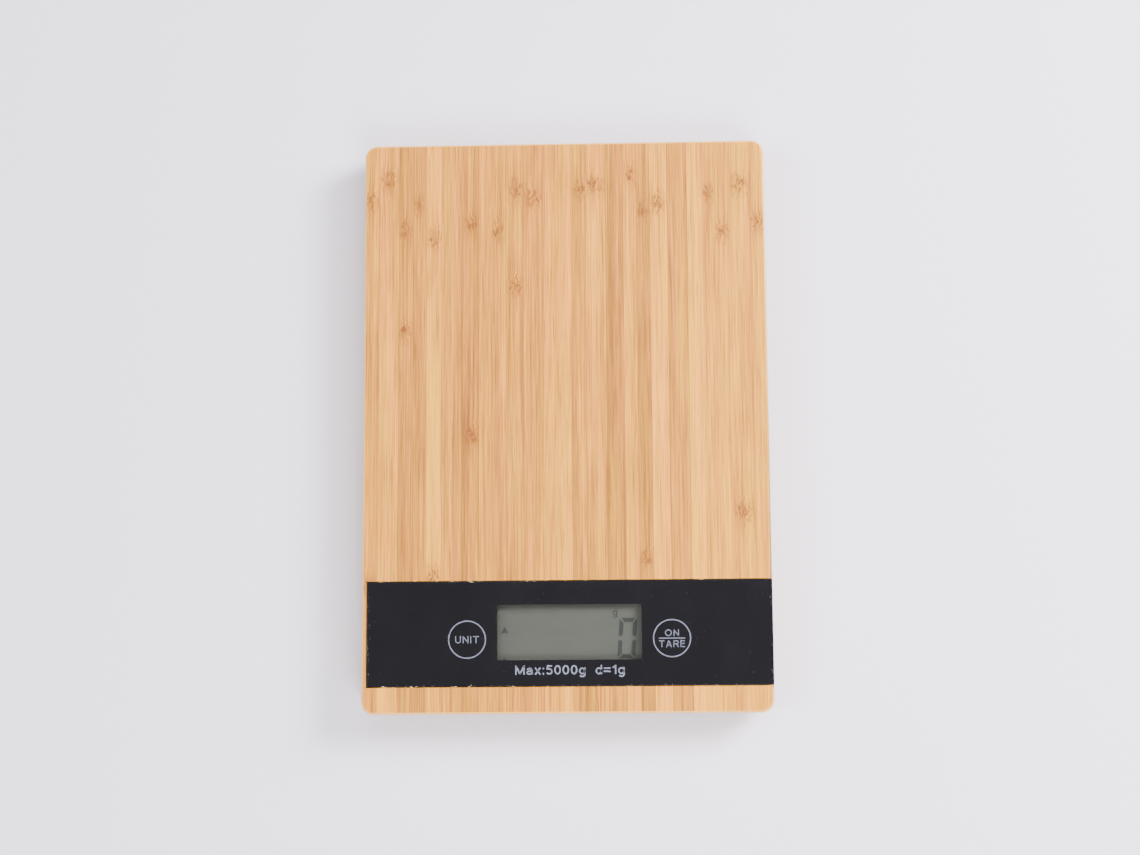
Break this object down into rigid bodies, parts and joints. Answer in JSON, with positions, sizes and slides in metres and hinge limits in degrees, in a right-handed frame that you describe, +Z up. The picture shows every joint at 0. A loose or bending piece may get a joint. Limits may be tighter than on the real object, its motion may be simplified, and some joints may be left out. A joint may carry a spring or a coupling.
{
  "type": "kitchen scale",
  "caption": "Slim bamboo kitchen scale: a flat board as the weighing platform, a black display panel with touch keys near its front edge, and feet that press on load cells.",
  "frame": {"origin": "on the table, under the middle of the bamboo board", "axes": "+Z up, +Y away from the user and the display, along the board's length, and +X to the user's right"},
  "size_m": [0.162, 0.23, 0.02],
  "materials": {
    "bamboo": "satin, oiled, laminated strips",
    "black_acrylic": "satin, back-printed black",
    "black_tape": "matt",
    "lcd_glass": "grey-green reflective display",
    "zebra_rubber": "striped conductive rubber",
    "white_plastic": "moulded ABS, fine matt",
    "circuit_board": "solder mask over glass-epoxy laminate",
    "epoxy": "glossy black drop",
    "black_plastic": "moulded ABS, fine matt texture",
    "steel": "plain steel",
    "nickel": "nickel plated spring steel",
    "battery_wrap": "foil-wrapped cell, no print",
    "white_silicone": "soft coating",
    "red_wire": "PVC insulation",
    "black_wire": "PVC insulation",
    "grey_wire": "PVC insulation",
    "foot_rubber": "matt silicone rubber"
  },
  "bodies": {
    "platform": {"bamboo_board": "bamboo", "display_panel": "black_acrylic", "panel_tape": "black_tape", "lcd_cell": "lcd_glass", "lcd_holder": "white_plastic", "zebra_strip_front": "zebra_rubber", "zebra_strip_back": "zebra_rubber", "main_board": "circuit_board", "chip_blob": "epoxy", "touch_spring_unit": "steel", "touch_spring_tare": "steel", "board_screw_1": "steel", "board_screw_2": "steel", "board_screw_3": "steel", "board_screw_4": "steel", "bottom_cover": "black_plastic", "cover_screw_1": "steel", "cover_screw_2": "steel", "cover_screw_3": "steel", "cover_screw_4": "steel", "cover_screw_5": "steel", "cover_screw_6": "steel", "battery_front": "battery_wrap", "battery_back": "battery_wrap", "contact_link": "nickel", "contact_positive": "nickel", "contact_negative": "nickel", "battery_spring_front": "steel", "battery_spring_back": "steel", "battery_lead_positive": "red_wire", "battery_lead_negative": "black_wire", "load_cell_front_left": "steel", "load_cell_front_right": "steel", "load_cell_back_left": "steel", "load_cell_back_right": "steel", "gauge_coat_front_left": "white_silicone", "gauge_coat_front_right": "white_silicone", "gauge_coat_back_left": "white_silicone", "gauge_coat_back_right": "white_silicone", "load_cell_carrier_front_left": "white_plastic", "load_cell_carrier_front_right": "white_plastic", "load_cell_carrier_back_left": "white_plastic", "load_cell_carrier_back_right": "white_plastic", "load_cell_lead_front_left": "grey_wire", "load_cell_lead_front_right": "grey_wire", "load_cell_lead_back_left": "grey_wire", "load_cell_lead_back_right": "grey_wire"},
    "battery_cover": {"battery_cover": "black_plastic"},
    "foot_front_left": {"foot_cup_front_left": "black_plastic", "foot_pad_front_left": "foot_rubber"},
    "foot_front_right": {"foot_cup_front_right": "black_plastic", "foot_pad_front_right": "foot_rubber"},
    "foot_back_left": {"foot_cup_back_left": "black_plastic", "foot_pad_back_left": "foot_rubber"},
    "foot_back_right": {"foot_cup_back_right": "black_plastic", "foot_pad_back_right": "foot_rubber"}
  },
  "joints": [
    {"name": "battery_cover_slide", "type": "slide", "parent": "platform", "child": "battery_cover", "axis": [0, 1, 0], "range_m": [0, 0.03]},
    {"name": "foot_front_left_press", "type": "slide", "parent": "platform", "child": "foot_front_left", "axis": [0, 0, 1], "range_m": [0, 0.00025], "stiffness_N_per_m": 49000},
    {"name": "foot_front_right_press", "type": "slide", "parent": "platform", "child": "foot_front_right", "axis": [0, 0, 1], "range_m": [0, 0.00025], "stiffness_N_per_m": 49000},
    {"name": "foot_back_left_press", "type": "slide", "parent": "platform", "child": "foot_back_left", "axis": [0, 0, 1], "range_m": [0, 0.00025], "stiffness_N_per_m": 49000},
    {"name": "foot_back_right_press", "type": "slide", "parent": "platform", "child": "foot_back_right", "axis": [0, 0, 1], "range_m": [0, 0.00025], "stiffness_N_per_m": 49000}
  ]
}
